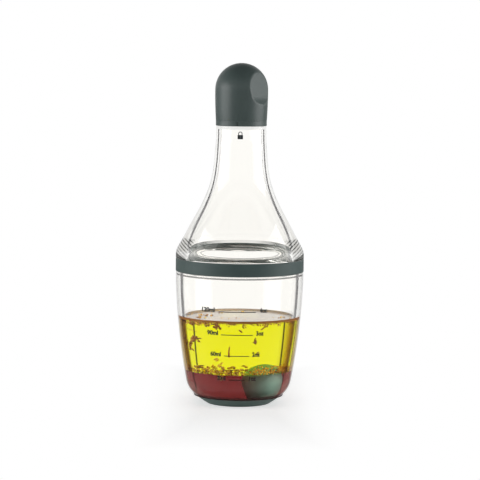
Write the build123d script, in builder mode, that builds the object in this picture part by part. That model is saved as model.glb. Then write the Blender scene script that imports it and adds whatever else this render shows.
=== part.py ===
# Salad dressing shaker bottle: a clear cup with a loose mixing ball, a clear bottle neck
# that screws into the cup's rim, and a domed screw cap over a pour spout.
# Millimetres. +Z is up, the origin is the centre of the foot's resting face, and the
# measuring marks of the real cup face -Y.

import math
import os

from build123d import *

os.makedirs("parts", exist_ok=True)

# Fits shared by all pieces
fit_gap = 0.05              # between pieces that are pressed or moulded together
running_gap = 0.2           # between pieces that turn or slide past each other
thread_room = 1.1           # radial room that a screw thread takes between its two walls
overrun = 1.0               # how far a cutting shape passes the face that it cuts

# Cup
body_radius = 35.7          # cup shoulder, grip band and bottle shoulder are flush
cup_height = 80.1           # top of the cup's rim
rim_wall = 3.7              # from the cup's bore to the shoulder's outside
cup_wall = 3.6
waist_taper = 2.6           # the gently bowed wall, half way up, inside the body radius
waist_height = 37.3
heel_taper = 6.3            # where the bowed wall turns into the rounded bottom
heel_height = 13.0
inner_heel_height = 14.5
heel_blend = 11.3           # from the inner wall to the flat part of the floor
floor_thickness = 3.5

# Silicone foot under the cup
foot_taper = 18.2           # resting face, inside the body radius
foot_rim_taper = 11.6       # visible top edge, flush with the cup
foot_rim_height = 4.5
foot_thickness = 1.6
foot_ring = 6.5             # width of the resting face round the recess
foot_recess_depth = 0.5
foot_edge = 0.8             # rounding of the resting edge

# Grip band in the groove round the cup's rim
band_height = 7.2
band_thickness = 1.9
band_edge = 0.5

# Gasket between the cup's rim and the bottle's seat
gasket_thickness = 1.0
gasket_edge = 0.25

# Bottle: collar, shoulder, neck and finish
collar_length = 8.2         # below the seat, inside the cup
collar_wall = 1.7
collar_edge = 0.3
shoulder_band = 1.6         # upright rim of the shoulder above the grip band
neck_length = 73.4          # from the seat on the cup to the ledge under the cap
neck_radius = 13.9
neck_wall = 2.6
finish_length = 7.95        # above the ledge, inside the cap
finish_step = 2.5           # the ledge between the neck and the finish
finish_wall = 2.3
finish_edge = 0.4
throat_drop = 1.6           # the bore starts to narrow this far below the cap's ledge
throat_length = 2.5
inner_shoulder = 12.9       # straight bore above the collar's lower edge
inner_lean = 18.0           # degrees that the inner wall leans in where that bore ends

# Outline of the shoulder and neck: share of the step from neck radius to body radius,
# and share of the neck's length above the seat
outer_shares = (
    (0.899, 0.109),
    (0.647, 0.249),
    (0.399, 0.384),
    (0.202, 0.514),
    (0.078, 0.657),
    (0.025, 0.813),
)
# The same for the inside, from neck bore to collar bore
inner_shares = (
    (0.709, 0.249),
    (0.441, 0.384),
    (0.223, 0.514),
    (0.084, 0.657),
    (0.022, 0.813),
)

# Pour spout in the bottle's mouth
spout_bore = 3.8
spout_wall = 1.3
spout_flange = 1.2
spout_skirt = 6.0
spout_rise = 3.0
spout_lip = 0.8             # how far the lip flares out over the nozzle

# Cap: inner core, silicone seal under its ceiling, domed outer shell
cap_gap = 0.3               # between the neck's ledge and the cap's lower edge
cap_overhang = 0.25         # lower edge of the cap, outside the neck
dome_bulge = 0.55           # the dome's greatest radius, outside that edge
crown_rise = 5.05           # from the core's top to the centre of the dome
cap_rim = 2.8               # visible rim of the core below the shell
core_wall = 0.8
core_ceiling = 1.4
core_corner = 3.0
cap_edge = 0.3
dome_wall = 1.35
seal_thickness = 1.4
plug_length = 1.6
index_width = 0.8           # notch in the rim that is turned to the padlock sign
index_depth = 0.5
index_height = 2.3
index_angle = 9.0           # degrees left of the front

# Two finger grips on the dome: flats that lean in towards the top and turn out at the bottom
facet_depth = 2.65          # from the dome's surface, at the dome's centre
facet_tilt = 7.0            # degrees that each flat leans in towards the top
facet_angle = 55.5          # degrees from the front to the right-hand flat
facet_turn = 3.4            # from the dome's centre down to where the flat turns out
facet_end = 8.6             # from the dome's centre down to where it leaves the dome
facet_wall = 0.8
facet_edge = 2.2

# Mixing ball
ball_radius = 9.8
ball_gap = 1.4              # from the ball to the cup's wall
ball_angle = 40.0           # degrees from +X towards the front

# Heights that follow from the sizes above
floor_height = foot_thickness + fit_gap + floor_thickness
seat_height = cup_height + gasket_thickness + running_gap
band_base = seat_height - running_gap - band_height
collar_end = seat_height - collar_length
ledge_height = seat_height + neck_length
finish_height = ledge_height + finish_length
cap_base = ledge_height + cap_gap

# Radii that follow from them
groove_radius = body_radius - band_thickness - fit_gap
cup_bore = body_radius - rim_wall
waist_radius = body_radius - waist_taper
heel_radius = body_radius - heel_taper
floor_radius = heel_radius - cup_wall - heel_blend
foot_rim_radius = body_radius - foot_rim_taper
foot_radius = body_radius - foot_taper
foot_recess_radius = foot_radius - foot_ring
collar_radius = cup_bore - thread_room
collar_bore = collar_radius - collar_wall
neck_bore = neck_radius - neck_wall
finish_radius = neck_radius - finish_step
finish_bore = finish_radius - finish_wall
cap_bore = finish_radius + thread_room
core_radius = cap_bore + core_wall
cap_base_radius = neck_radius + cap_overhang
dome_radius = cap_base_radius + dome_bulge
ball_offset = heel_radius - cup_wall - ball_radius - ball_gap

# Stack inside the cap, from the bottle's mouth up
flange_top = finish_height + fit_gap + spout_flange
nozzle_top = flange_top + spout_rise
nozzle_radius = spout_bore + spout_wall
seal_base = nozzle_top + running_gap
ceiling_height = seal_base + seal_thickness + fit_gap
core_top = ceiling_height + core_ceiling
dome_centre = core_top + crown_rise


def outline_points(shares, inner_radius, outer_radius):
    """Places of a share table between two radii, along the neck."""
    return [
        (inner_radius + across * (outer_radius - inner_radius), seat_height + along * neck_length)
        for across, along in shares
    ]


def grip_cutter(angle, depth):
    """Block that is cut off the dome for a finger grip, this deep at the dome's centre."""
    turn = math.radians(angle)
    lean = math.radians(facet_tilt)
    across = Vector(math.cos(turn), math.sin(turn), 0)
    outward = Vector(math.sin(turn), -math.cos(turn), 0)
    start = dome_radius - depth
    with BuildPart() as block:
        with BuildSketch(Plane(Vector(0, 0, dome_centre), x_dir=outward, z_dir=-across)):
            with BuildLine():
                low = (start + facet_turn * math.tan(lean), -facet_turn)
                high = (start - dome_radius * math.tan(lean), dome_radius)
                end = (dome_radius + overrun, -facet_end)
                Line(high, low)
                TangentArc(low, end, tangent=(math.sin(lean), -math.cos(lean)))
                Polyline(end, (end[0], dome_radius), high)
            make_face()
        extrude(amount=dome_radius, both=True)
    return block.part


# Cup: bowed wall, rounded bottom with a rebate for the foot, groove for the band, and a
# straight bore inside the rim for the bottle's collar
with BuildPart() as cup:
    with BuildSketch(Plane.XZ):
        with BuildLine():
            wall = ThreePointArc(
                (heel_radius, heel_height), (waist_radius, waist_height), (body_radius, band_base)
            )
            Polyline(
                (body_radius, band_base),
                (groove_radius, band_base),
                (groove_radius, cup_height),
                (cup_bore, cup_height),
                (cup_bore, collar_end - running_gap),
            )
            inner_wall = ThreePointArc(
                (cup_bore, collar_end - running_gap),
                (waist_radius - cup_wall, waist_height),
                (heel_radius - cup_wall, inner_heel_height),
            )
            TangentArc(
                (heel_radius - cup_wall, inner_heel_height),
                (floor_radius, floor_height),
                tangent=inner_wall % 1,
            )
            Polyline(
                (floor_radius, floor_height),
                (0, floor_height),
                (0, foot_thickness + fit_gap),
                (foot_radius - foot_thickness / 2, foot_thickness + fit_gap),
                (foot_rim_radius - foot_thickness, foot_rim_height + fit_gap),
                (foot_rim_radius, foot_rim_height + fit_gap),
            )
            heel = TangentArc(
                (heel_radius, heel_height),
                (foot_rim_radius, foot_rim_height + fit_gap),
                tangent=-(wall % 0),
            )
        make_face()
    revolve(axis=Axis.Z)
    rim_edges = cup.edges().filter_by(GeomType.CIRCLE).group_by(Axis.Z)[-1]
    chamfer(rim_edges, collar_edge)
heel_direction = heel % 1
cup.part.label = "cup"

# Silicone foot: a shallow dish that carries on the cup's curve down to the resting face
with BuildPart() as base_foot:
    with BuildSketch(Plane.XZ):
        with BuildLine():
            TangentArc(
                (foot_rim_radius, foot_rim_height), (foot_radius, 0), tangent=heel_direction
            )
            Polyline(
                (foot_radius, 0),
                (foot_recess_radius, 0),
                (foot_recess_radius, foot_recess_depth),
                (0, foot_recess_depth),
                (0, foot_thickness),
                (foot_radius - foot_thickness / 2 + fit_gap, foot_thickness),
                (foot_rim_radius - foot_thickness + fit_gap, foot_rim_height),
                (foot_rim_radius, foot_rim_height),
            )
        make_face()
    revolve(axis=Axis.Z)
    resting_edge = base_foot.edges().group_by(Axis.Z)[0].sort_by(SortBy.RADIUS)[-1]
    fillet(resting_edge, foot_edge)
base_foot.part.label = "base_foot"

# Grip band: soft ring that fills the groove round the rim
with BuildPart() as grip_band:
    with BuildSketch(Plane.XZ):
        with Locations(
            (body_radius - band_thickness / 2, band_base + fit_gap + band_height / 2)
        ):
            Rectangle(band_thickness, band_height - fit_gap)
    revolve(axis=Axis.Z)
    outer_edges = grip_band.edges().filter_by(GeomType.CIRCLE).sort_by(SortBy.RADIUS)[-2:]
    fillet(outer_edges, band_edge)
grip_band.part.label = "grip_band"

# Gasket: sits on the bottle's collar, under its seat, and is pressed on the cup's rim
gasket_inner = collar_radius + fit_gap
gasket_outer = groove_radius - running_gap
with BuildPart() as body_seal:
    with BuildSketch(Plane.XZ) as gasket_section:
        with Locations(
            ((gasket_inner + gasket_outer) / 2, seat_height - fit_gap - gasket_thickness / 2)
        ):
            Rectangle(gasket_outer - gasket_inner, gasket_thickness)
        fillet(gasket_section.vertices(), gasket_edge)
    revolve(axis=Axis.Z)
body_seal.part.label = "body_seal"

# Bottle: collar that plugs into the cup, seat, bell-shaped shoulder, neck, and the finish
# under the cap
shoulder_turn = math.radians(inner_lean)
with BuildPart() as upper_bottle:
    with BuildSketch(Plane.XZ):
        with BuildLine():
            Spline(
                (body_radius, seat_height + shoulder_band),
                *outline_points(outer_shares, neck_radius, body_radius),
                (neck_radius, ledge_height),
                tangents=((0, 1), (0, 1)),
            )
            Polyline(
                (neck_radius, ledge_height),
                (finish_radius, ledge_height),
                (finish_radius, finish_height),
                (finish_bore, finish_height),
                (finish_bore, ledge_height - throat_drop + throat_length),
                (neck_bore, ledge_height - throat_drop),
            )
            Spline(
                (neck_bore, ledge_height - throat_drop),
                *reversed(outline_points(inner_shares, neck_bore, collar_bore)),
                (collar_bore, collar_end + inner_shoulder),
                tangents=((0, -1), (math.sin(shoulder_turn), -math.cos(shoulder_turn))),
            )
            Polyline(
                (collar_bore, collar_end + inner_shoulder),
                (collar_bore, collar_end),
                (collar_radius, collar_end),
                (collar_radius, seat_height),
                (body_radius, seat_height),
                (body_radius, seat_height + shoulder_band),
            )
        make_face()
    revolve(axis=Axis.Z)
    mouth_edges = upper_bottle.edges().filter_by(GeomType.CIRCLE).group_by(Axis.Z)[-1]
    fillet(mouth_edges, finish_edge)
    collar_edges = upper_bottle.edges().filter_by(GeomType.CIRCLE).group_by(Axis.Z)[0]
    chamfer(collar_edges, collar_edge)
upper_bottle.part.label = "upper_bottle"

# Pour spout: flange on the bottle's mouth, skirt pressed into its bore, and a nozzle
# whose lip flares out so that the last drop falls off
skirt_radius = finish_bore - fit_gap
flange_radius = finish_radius - finish_edge
with BuildPart() as pour_spout:
    with BuildSketch(Plane.XZ):
        with BuildLine():
            Polyline(
                (nozzle_radius + spout_lip, nozzle_top),
                (spout_bore, nozzle_top),
                (spout_bore, finish_height + fit_gap),
                (skirt_radius - spout_wall, finish_height + fit_gap),
                (skirt_radius - spout_wall, finish_height - spout_skirt),
                (skirt_radius, finish_height - spout_skirt),
                (skirt_radius, finish_height + fit_gap),
                (flange_radius, finish_height + fit_gap),
                (flange_radius, flange_top),
                (nozzle_radius, flange_top),
            )
            TangentArc(
                (nozzle_radius, flange_top), (nozzle_radius + spout_lip, nozzle_top), tangent=(0, 1)
            )
        make_face()
    revolve(axis=Axis.Z)
pour_spout.part.label = "pour_spout"

# Cap seal: soft disc under the core's ceiling, with a plug that closes the nozzle
with BuildPart() as cap_seal:
    with BuildSketch(Plane.XY.offset(seal_base)):
        Circle(cap_bore - fit_gap)
    extrude(amount=seal_thickness)
    with BuildSketch(Plane.XY.offset(seal_base)):
        Circle(spout_bore - running_gap)
    extrude(amount=-plug_length)
    plug_end = cap_seal.edges().group_by(Axis.Z)[0]
    fillet(plug_end, plug_length / 2)
cap_seal.part.label = "cap_seal"

# Cap core: inner cup whose rim shows under the shell, with the index notch
with BuildPart() as cap_core:
    with BuildSketch(Plane.XZ):
        with BuildLine():
            Polyline(
                (cap_bore, cap_base),
                (cap_base_radius, cap_base),
                (cap_base_radius, cap_base + cap_rim),
                (core_radius, cap_base + cap_rim),
                (core_radius, core_top),
                (0, core_top),
                (0, ceiling_height),
                (cap_bore, ceiling_height),
                close=True,
            )
        make_face()
    revolve(axis=Axis.Z)
    fillet(cap_core.edges().filter_by(GeomType.CIRCLE).group_by(Axis.Z)[-1], core_corner)
    low_edges = cap_core.edges().filter_by(GeomType.CIRCLE).group_by(Axis.Z)[0]
    fillet(low_edges.sort_by(SortBy.RADIUS)[-1], cap_edge)
    notch_turn = math.radians(index_angle)
    notch_face = Plane(
        (-cap_base_radius * math.sin(notch_turn), -cap_base_radius * math.cos(notch_turn), cap_base),
        x_dir=(math.cos(notch_turn), -math.sin(notch_turn), 0),
        z_dir=(-math.sin(notch_turn), -math.cos(notch_turn), 0),
    )
    with BuildSketch(notch_face):
        with Locations((0, (index_height - overrun) / 2)):
            Rectangle(index_width, index_height + overrun)
    extrude(amount=-index_depth, both=True, mode=Mode.SUBTRACT)
cap_core.part.label = "cap_core"

# Cap shell: domed cover over the core, hollow, with two flats for the fingers
shell_base = cap_base + cap_rim + fit_gap
socket_radius = core_radius + fit_gap
hollow_radius = dome_radius - dome_wall
with BuildPart() as dome_hollow:
    with BuildSketch(Plane.XZ):
        with BuildLine():
            Polyline(
                (0, dome_centre + hollow_radius),
                (0, shell_base - overrun),
                (socket_radius, shell_base - overrun),
                (socket_radius, shell_base),
                (hollow_radius, dome_centre),
            )
            RadiusArc((hollow_radius, dome_centre), (0, dome_centre + hollow_radius), -hollow_radius)
        make_face()
    revolve(axis=Axis.Z)
    for angle in (facet_angle, facet_angle + 180):
        add(grip_cutter(angle, facet_depth + facet_wall), mode=Mode.SUBTRACT)

with BuildPart() as cap_dome:
    with BuildSketch(Plane.XZ):
        with BuildLine():
            Line((0, shell_base), (cap_base_radius, shell_base))
            TangentArc(
                (dome_radius, dome_centre), (cap_base_radius, shell_base), tangent=(0, -1)
            )
            RadiusArc((dome_radius, dome_centre), (0, dome_centre + dome_radius), -dome_radius)
            Line((0, dome_centre + dome_radius), (0, shell_base))
        make_face()
    revolve(axis=Axis.Z)
    for angle in (facet_angle, facet_angle + 180):
        add(grip_cutter(angle, facet_depth), mode=Mode.SUBTRACT)
    flats = cap_dome.faces().filter_by(GeomType.PLANE).sort_by(Axis.Z)[-2:]
    turns = cap_dome.faces().filter_by(GeomType.CYLINDER)
    seams = flats.edges().filter_by(GeomType.LINE)
    fillet((flats.edges() + turns.edges()) - seams, facet_edge)
    add(dome_hollow.part, mode=Mode.SUBTRACT)
cap_dome.part.label = "cap_dome"

# Mixing ball: lies loose on the cup's floor
with BuildPart() as mixing_ball:
    with PolarLocations(ball_offset, 1, start_angle=-ball_angle):
        with Locations((0, 0, floor_height + fit_gap + ball_radius)):
            Sphere(ball_radius)
mixing_ball.part.label = "mixing_ball"

pieces = (
    cup,
    base_foot,
    grip_band,
    body_seal,
    upper_bottle,
    pour_spout,
    cap_seal,
    cap_core,
    cap_dome,
    mixing_ball,
)
for piece in pieces:
    export_step(piece.part, f"parts/{piece.part.label}.step")
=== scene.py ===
import bisect
import math
import random

import bmesh
import bpy
from mathutils import Matrix, Vector


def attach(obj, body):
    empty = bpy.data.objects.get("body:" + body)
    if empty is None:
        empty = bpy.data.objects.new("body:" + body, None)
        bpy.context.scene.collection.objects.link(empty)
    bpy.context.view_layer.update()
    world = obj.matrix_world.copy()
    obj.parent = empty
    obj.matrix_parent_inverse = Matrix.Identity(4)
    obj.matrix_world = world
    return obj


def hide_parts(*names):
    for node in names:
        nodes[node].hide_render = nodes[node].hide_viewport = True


mm = 0.001

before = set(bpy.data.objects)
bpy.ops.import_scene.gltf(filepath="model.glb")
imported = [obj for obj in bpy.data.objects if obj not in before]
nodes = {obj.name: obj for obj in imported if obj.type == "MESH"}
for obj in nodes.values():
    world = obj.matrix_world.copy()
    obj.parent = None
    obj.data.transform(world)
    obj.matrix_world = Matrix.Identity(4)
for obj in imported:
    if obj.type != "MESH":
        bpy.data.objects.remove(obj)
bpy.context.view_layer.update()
print("frame loaded:", len(nodes), "pieces")


# Shader graphs: an expression on sockets adds its own Math nodes
class Socket:
    def __init__(self, graph, out):
        self.graph = graph
        self.out = out

    def __add__(self, other):
        return self.graph.maths("ADD", self, other)

    def __sub__(self, other):
        return self.graph.maths("SUBTRACT", self, other)

    def __rsub__(self, other):
        return self.graph.maths("SUBTRACT", other, self)

    def __mul__(self, other):
        return self.graph.maths("MULTIPLY", self, other)

    def __truediv__(self, other):
        return self.graph.maths("DIVIDE", self, other)

    __radd__ = __add__
    __rmul__ = __mul__


class Graph:
    def __init__(self, tree):
        self.tree = tree
        tree.nodes.clear()

    def add(self, kind, settings, sockets, output=0):  # any node: its settings first, then its sockets
        node = self.tree.nodes.new(kind)
        for name, value in settings.items():
            if name == "stops":
                self.rampStops(node.color_ramp, value)
            else:
                setattr(node, name, value)
        for name, value in sockets.items():
            if isinstance(value, Socket):
                self.tree.links.new(value.out, node.inputs[name])
            else:
                node.inputs[name].default_value = value
        return Socket(self, node.outputs[output]) if len(node.outputs) else node

    def rampStops(self, ramp, stops):
        while len(ramp.elements) > 1:
            ramp.elements.remove(ramp.elements[-1])
        for number, (place, shade) in enumerate(stops):
            stop = ramp.elements[0] if number == 0 else ramp.elements.new(place)
            stop.position = place
            stop.color = (*shade, 1) if isinstance(shade, tuple) else (shade, shade, shade, 1)

    def maths(self, operation, first, second):
        return self.add("ShaderNodeMath", {"operation": operation}, {0: first, 1: second})

    def noise(self, place, size, detail=2.0):  # size is the width of one blotch, in metres
        sockets = {"Vector": place, "Scale": 1 / size, "Detail": detail}
        return self.add("ShaderNodeTexNoise", {}, sockets)

    def ramp(self, amount, stops):
        return self.add("ShaderNodeValToRGB", {"stops": stops}, {"Fac": amount})

    def blend(self, amount, first, second):  # of two colours
        sockets = {"Factor": amount, 6: colour(first), 7: colour(second)}
        return self.add("ShaderNodeMix", {"data_type": "RGBA"}, sockets, output=2)

    def place(self):
        return self.add("ShaderNodeTexCoord", {}, {}, output="Object")

    def along(self, axis):  # metres along X, Y or Z
        return self.add("ShaderNodeSeparateXYZ", {}, {"Vector": self.place()}, output=axis)

    def away(self, axis):  # the same, to either side of the middle
        return self.maths("ABSOLUTE", self.along(axis), 0)

    def facing(self):  # 0 where the surface is seen square on, 1 where it is seen edge on
        return self.add("ShaderNodeLayerWeight", {}, {"Blend": 0.5}, output="Facing")

    def behind(self):  # 1 on the back of a face
        return self.add("ShaderNodeNewGeometry", {}, {}, output="Backfacing")

    def ray(self, kind):
        return self.add("ShaderNodeLightPath", {}, {}, output=kind)

    def bump(self, height, depth):
        return self.add("ShaderNodeBump", {}, {"Height": height, "Distance": depth, "Strength": 1.0})

    def matt(self, shade):
        return self.add("ShaderNodeBsdfDiffuse", {}, {"Color": colour(shade)})

    def glow(self, shade):
        return self.add("ShaderNodeEmission", {}, {"Color": colour(shade)})

    def passing(self, shade):  # what light becomes on its way through
        return self.add("ShaderNodeBsdfTransparent", {}, {"Color": colour(shade)})

    def mixed(self, amount, first, second):  # of two shaders
        return self.add("ShaderNodeMixShader", {}, {0: amount, 1: first, 2: second})


def colour(value):
    return value if isinstance(value, Socket) else (*value, 1)


def newMaterial(name):
    material = bpy.data.materials.new(name)
    material.use_nodes = True
    return material, Graph(material.node_tree)


def surface(graph, shader, volume=None):
    links = {"Surface": shader}
    if volume:
        links["Volume"] = volume
    graph.add("ShaderNodeOutputMaterial", {}, links)


# Clear moulded plastic of the cup and the bottle
clearLook = {
    "tint": (0.997, 0.990, 0.966),
    "index": 1.57,
    "mirror": (0.25, 0.25, 0.25),                     # of the plain reflection
    "flowLines": 14 * mm, "flowDetail": 1.0,
    "roughness": ((0.35, 0.0), (0.75, 0.03)),         # by the flow lines
    "shadow": (0.93, 0.93, 0.93),                     # how much light passes into the shadow
    "rim": (0.035, 0.032, 0.038),                     # painted shade of the dark lines, where the inner wall is seen edge on
    # painted shade where the far inner wall is seen edge on, by facing
    "farShadeStops": ((0.76, 0.0), (0.88, 0.35), (1.0, 0.6)),
    "lineStops": ((0.0, 1.0), (0.55, 0.9), (1.0, 0.0)),
    "paintedHalo": (0.86, 0.86, 0.85),                       # painted glow of the bright backdrop bent round the outline
    "paintedHaloStops": ((0.77, 0.0), (0.86, 0.6), (1.0, 0.6)),
}
# Painted dark line along the inner wall, in place of the dark that refraction shows there, by height: at which facing
# it lies, its half width and how dark it is
paintedLines = {
    "cup": {
        "low": 10 * mm, "high": 75 * mm,
        "facing": ((0.0, 0.236), (1.0, 0.236)),
        "width": ((0.0, 0.014), (1.0, 0.014)),
        "depth": ((0.0, 0.75), (1.0, 0.75)),
    },
    "bottle": {
        "low": 88 * mm, "high": 155 * mm,
        "facing": ((0.0, 0.235), (0.28, 0.236), (0.40, 0.246), (0.53, 0.264), (0.64, 0.280), (0.80, 0.290)),
        "width": ((0.0, 0.013), (0.5, 0.019), (0.8, 0.024)),
        "depth": ((0.0, 0.6), (0.1, 0.85), (0.3, 0.85), (1.0, 0.9)),
        # painted glow where the thick shoulder wall passes on the white around it, by facing and height
        "glow": (0.76, 0.75, 0.72),
        "glowStops": ((0.25, 0.0), (0.29, 0.85), (1.0, 0.85)),
        "glowScale": 5, "glowHeights": ((0.43, 1.0), (0.50, 1.0), (0.56, 0.0)),     # in fifths of a metre
    },
}


# Mask of the painted dark line on the inner wall
def paintedInnerLine(graph, facing, line):
    share = (graph.along("Z") - line["low"]) / (line["high"] - line["low"])
    off = graph.maths("ABSOLUTE", facing - graph.ramp(share, line["facing"]), 0)
    near = graph.ramp(off / graph.ramp(share, line["width"]), clearLook["lineStops"])
    return near * graph.ramp(share, line["depth"])


# Painted reflection of the screw ridges and the band, as the shoulder's edge would bend them: a hatch of thin dark
# lines over a dark patch
paintedHatchLook = {
    "slope": 0.74, "pitch": 2.0 * mm, "low": 81.3 * mm, "high": 93.0 * mm,
    "shift": 100,             # whole lines, so that none is counted below zero
    "lineStops": ((0.0, 1.0), (0.35, 1.0), (0.6, 0.0)),
    "edgeStops": ((0.40, 0.0), (0.48, 1.0), (0.90, 0.8), (1.0, 0.3)),
    "heightStops": ((0.0, 0.6), (0.3, 0.8), (0.8, 1.0), (0.93, 1.0), (1.0, 0.0)),
    "blotch": 2.5 * mm, "blotchStops": ((0.35, 0.65), (0.6, 1.0)),
    "haze": 0.18,
    "patchSlope": 0.47, "patchTop": 68.0 * mm, "patchStops": ((0.3, 0.95), (0.7, 0.0)),
}
# How the painted shade on the seat's bore grows as it is seen more edge on
seatShadeStops = ((0.05, 0.2), (0.3, 0.85), (1.0, 0.85))


# Mask of the painted hatch and dark patch
def paintedHatchMask(graph):
    up, across = graph.along("Z"), graph.away("X")
    blotch = graph.ramp(graph.noise(graph.place(), paintedHatchLook["blotch"]), paintedHatchLook["blotchStops"])
    count = (up - across * paintedHatchLook["slope"]) / paintedHatchLook["pitch"] + paintedHatchLook["shift"]
    wave = graph.maths("PINGPONG", count, 0.5) * 2
    height = graph.ramp((up - paintedHatchLook["low"]) / (paintedHatchLook["high"] - paintedHatchLook["low"]), paintedHatchLook["heightStops"])
    line = graph.ramp(wave, paintedHatchLook["lineStops"]) * blotch * height
    paintedPatch = (up - across * paintedHatchLook["patchSlope"] - paintedHatchLook["patchTop"]) / mm + 0.5
    dark = graph.maths("MAXIMUM", line, graph.ramp(paintedPatch, paintedHatchLook["patchStops"]))
    return graph.maths("MAXIMUM", dark, paintedHatchLook["haze"]) * graph.ramp(graph.facing(), paintedHatchLook["edgeStops"])


def paintedSeatShadeMask(graph):  # painted shade: the seat's bore darker towards its sides, where the dark band would show through
    return graph.ramp(graph.facing(), seatShadeStops) * (1 - graph.behind())


def even(amount):
    return lambda graph: amount


# Painted shade and glow over single rows of a clear shell, in place of what refraction shows there: a shader, its
# shade, and how much of it covers the plastic
paintedVeils = {
    # painted dark lines at the cup's inner rim and its heel, painted dark of the foot seen through the underside,
    # painted glow in the bottle's throat, the painted hatch and the painted shade at the seat
    "PaintedRimShade": ("ShaderNodeBsdfDiffuse", (0.05, 0.04, 0.045), even(0.7)),
    "PaintedFootShade": ("ShaderNodeBsdfDiffuse", (0.085, 0.110, 0.100), even(0.9)),
    "PaintedHeelShade": ("ShaderNodeBsdfDiffuse", (0.05, 0.02, 0.02), even(0.55)),
    "PaintedThroatGlow": ("ShaderNodeEmission", (0.95, 0.95, 0.94), even(0.85)),
    "PaintedHatchShade": ("ShaderNodeBsdfDiffuse", (0.06, 0.065, 0.06), paintedHatchMask),
    "PaintedSeatShade": ("ShaderNodeBsdfDiffuse", (0.06, 0.078, 0.072), paintedSeatShadeMask),
}


def clearPlastic(name, look, line=None, paintedVeil=None):
    material, graph = newMaterial(name)
    flow = graph.noise(graph.place(), look["flowLines"], look["flowDetail"])
    facing, behind = graph.facing(), graph.behind()
    shell = graph.add("ShaderNodeBsdfPrincipled", {}, {
        "Base Color": colour(look["tint"]),
        "Roughness": graph.ramp(flow, look["roughness"]),
        "IOR": look["index"],
        "Transmission Weight": 1.0,
        "Specular Tint": colour(look["mirror"]),
    })
    if line and "glow" in line:  # painted glow, in place of the white around that the thick shoulder wall passes on
        low = graph.ramp(graph.along("Z") * line["glowScale"], line["glowHeights"])
        paintedGlowShare = graph.ramp(facing, line["glowStops"]) * low * behind
        shell = graph.mixed(paintedGlowShare, shell, graph.glow(line["glow"]))
    # Painted shade: dark matt where the far inner wall is seen edge on, and along the painted dark line
    if line:
        far = graph.ramp(facing, look["farShadeStops"]) * (1 - behind)
        shell = graph.mixed(far + paintedInnerLine(graph, facing, line) * behind, shell, graph.matt(look["rim"]))
    else:
        # Painted glow of the backdrop round the outline
        shell = graph.mixed(graph.ramp(facing, look["paintedHaloStops"]) * (1 - behind), shell, graph.glow(look["paintedHalo"]))
    # the row's painted shade or glow, mixed over the plastic
    if paintedVeil:
        kind, shade, amount = paintedVeil
        shell = graph.mixed(amount(graph), shell, graph.add(kind, {}, {"Color": colour(shade)}))
    surface(graph, graph.mixed(graph.ray("Is Shadow Ray"), shell, graph.passing(look["shadow"])))
    return material


# Matt and satin finishes: a base colour with a slow drift and a fine grain
driftLook = {"size": 9 * mm, "detail": 3.0, "stops": ((0.3, 0.0), (0.7, 1.0))}
matteLooks = {
    "darkSilicone": {
        "shade": (0.058, 0.095, 0.090), "drift": (0.050, 0.085, 0.080), "grain": 0.16 * mm,
        "depth": 0.010 * mm, "roughness": (0.48, 0.60), "sheen": 0.12,
    },
    "footSilicone": {
        "shade": (0.125, 0.200, 0.178), "drift": (0.113, 0.182, 0.162), "grain": 0.16 * mm,
        "depth": 0.010 * mm, "roughness": (0.5, 0.62), "sheen": 0.12,
    },
    "darkPlastic": {
        "shade": (0.066, 0.094, 0.089), "drift": (0.059, 0.085, 0.081), "grain": 0.10 * mm,
        "depth": 0.004 * mm, "roughness": (0.36, 0.44),
    },
    "clearSilicone": {
        "shade": (0.72, 0.74, 0.71), "drift": (0.66, 0.69, 0.66), "grain": 0.2 * mm,
        "depth": 0.008 * mm, "roughness": (0.4, 0.5), "sheen": 0.1,
    },
    "whitePlastic": {
        "shade": (0.78, 0.79, 0.76), "drift": (0.74, 0.75, 0.73), "grain": 0.12 * mm,
        "depth": 0.004 * mm, "roughness": (0.3, 0.4),
    },
    "greenSilicone": {
        "shade": (0.32, 0.70, 0.56), "drift": (0.28, 0.62, 0.50), "grain": 0.18 * mm,
        "depth": 0.008 * mm, "roughness": (0.42, 0.55), "sheen": 0.1,
    },
    "printInk": {
        "shade": (0.020, 0.026, 0.025), "drift": (0.030, 0.036, 0.034), "grain": 0.08 * mm,
        "depth": 0.002 * mm, "roughness": (0.45, 0.6),
    },
    "keyholeInk": {
        "shade": (0.10, 0.12, 0.12), "drift": (0.13, 0.15, 0.15), "grain": 0.08 * mm,
        "depth": 0.002 * mm, "roughness": (0.45, 0.6),
    },
    "driedHerb": {
        "shade": (0.24, 0.07, 0.015), "drift": (0.62, 0.27, 0.04), "grain": 0.5 * mm,
        "depth": 0.03 * mm, "roughness": (0.5, 0.7),
    },
    "saffron": {
        "shade": (0.50, 0.12, 0.015), "drift": (0.62, 0.20, 0.02), "grain": 0.4 * mm,
        "depth": 0.02 * mm, "roughness": (0.4, 0.6),
    },
    "spiceCrumb": {
        "shade": (0.95, 0.48, 0.04), "drift": (1.0, 0.70, 0.08), "grain": 0.6 * mm,
        "depth": 0.03 * mm, "roughness": (0.5, 0.7),
    },
}


def matteFinish(name, look):
    material, graph = newMaterial(name)
    place = graph.place()
    drift = graph.ramp(graph.noise(place, driftLook["size"], driftLook["detail"]), driftLook["stops"])
    grain = graph.noise(place, look["grain"])
    low, high = look["roughness"]
    shader = graph.add("ShaderNodeBsdfPrincipled", {}, {
        "Base Color": graph.blend(drift, look["shade"], look["drift"]),
        "Roughness": low + grain * (high - low),
        "Sheen Weight": look.get("sheen", 0.0),
        "Normal": graph.bump(grain, look["depth"]),
    })
    surface(graph, shader)
    return material
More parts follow.
